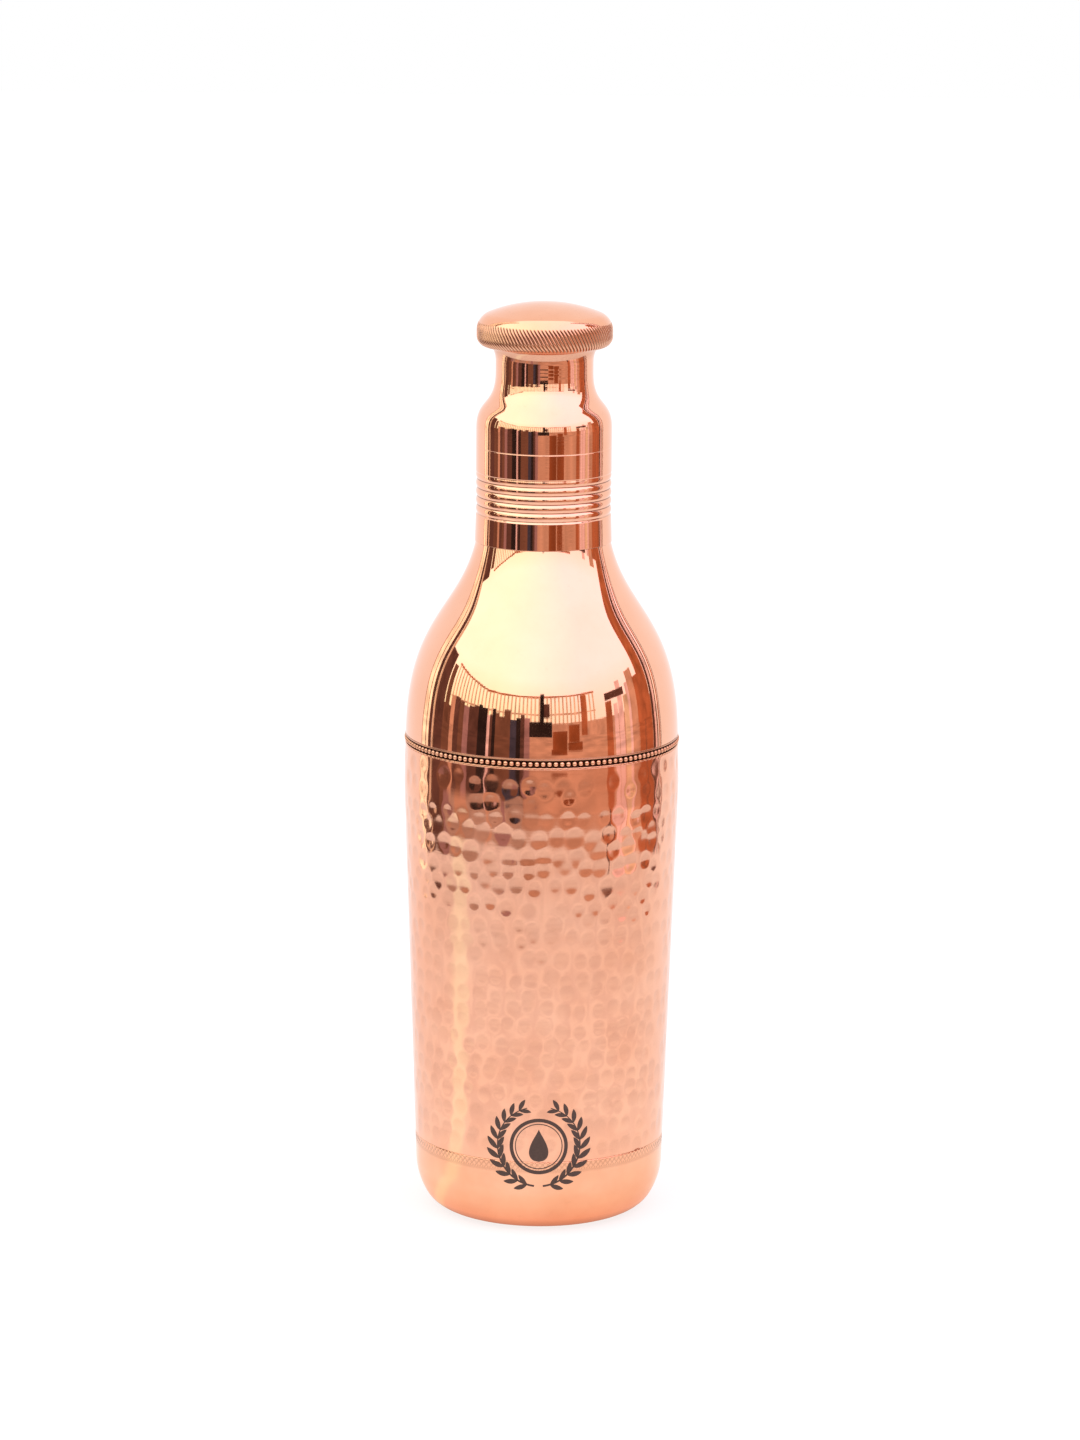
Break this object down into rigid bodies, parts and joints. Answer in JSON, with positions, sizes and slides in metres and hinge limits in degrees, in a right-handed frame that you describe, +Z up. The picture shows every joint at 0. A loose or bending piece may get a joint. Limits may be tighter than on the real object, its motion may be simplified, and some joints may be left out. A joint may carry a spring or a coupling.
{
  "type": "copper water bottle",
  "caption": "Tapered hammered copper bottle with a mirror-polished shoulder, a beaded seam, a ribbed neck and a domed, knurled screw cap.",
  "frame": {"origin": "centre of the foot plane, on the bottle's axis", "axes": "+Z up along the bottle's axis from the foot to the cap; +Y away from the viewer of the front; +X to the viewer's right"},
  "size_m": [0.0852, 0.0852, 0.2848],
  "materials": {
    "polished_copper": "mirror-polished copper",
    "hammered_copper": "hammered and buffed copper",
    "beaded_copper": "beaded copper strip, darkened between the beads",
    "knurled_copper": "polished copper with a knurled rim",
    "turned_brass": "turned brass",
    "silicone": "matt translucent white silicone"
  },
  "bodies": {
    "bottle": {"base_cup": "polished_copper", "body_shell": "hammered_copper", "bead_ring": "beaded_copper", "shoulder_shell": "polished_copper", "neck_sleeve": "polished_copper", "thread_bush": "turned_brass"},
    "seal": {"gasket": "silicone"},
    "cap": {"cap_shell": "knurled_copper", "cap_plug": "turned_brass"}
  },
  "joints": [
    {"name": "cap_lift", "type": "slide", "parent": "bottle", "child": "seal", "axis": [0, 0, 1], "range_m": [0, 0.032]},
    {"name": "cap_turn", "type": "hinge", "parent": "seal", "child": "cap", "pos_m": [0, 0, 0.2725], "axis": [0, 0, 1], "range_deg": [0, 2880]}
  ],
  "couplings": [
    {"joint": "cap_lift", "follows": "cap_turn", "m_per_rad": 0.00063662}
  ]
}
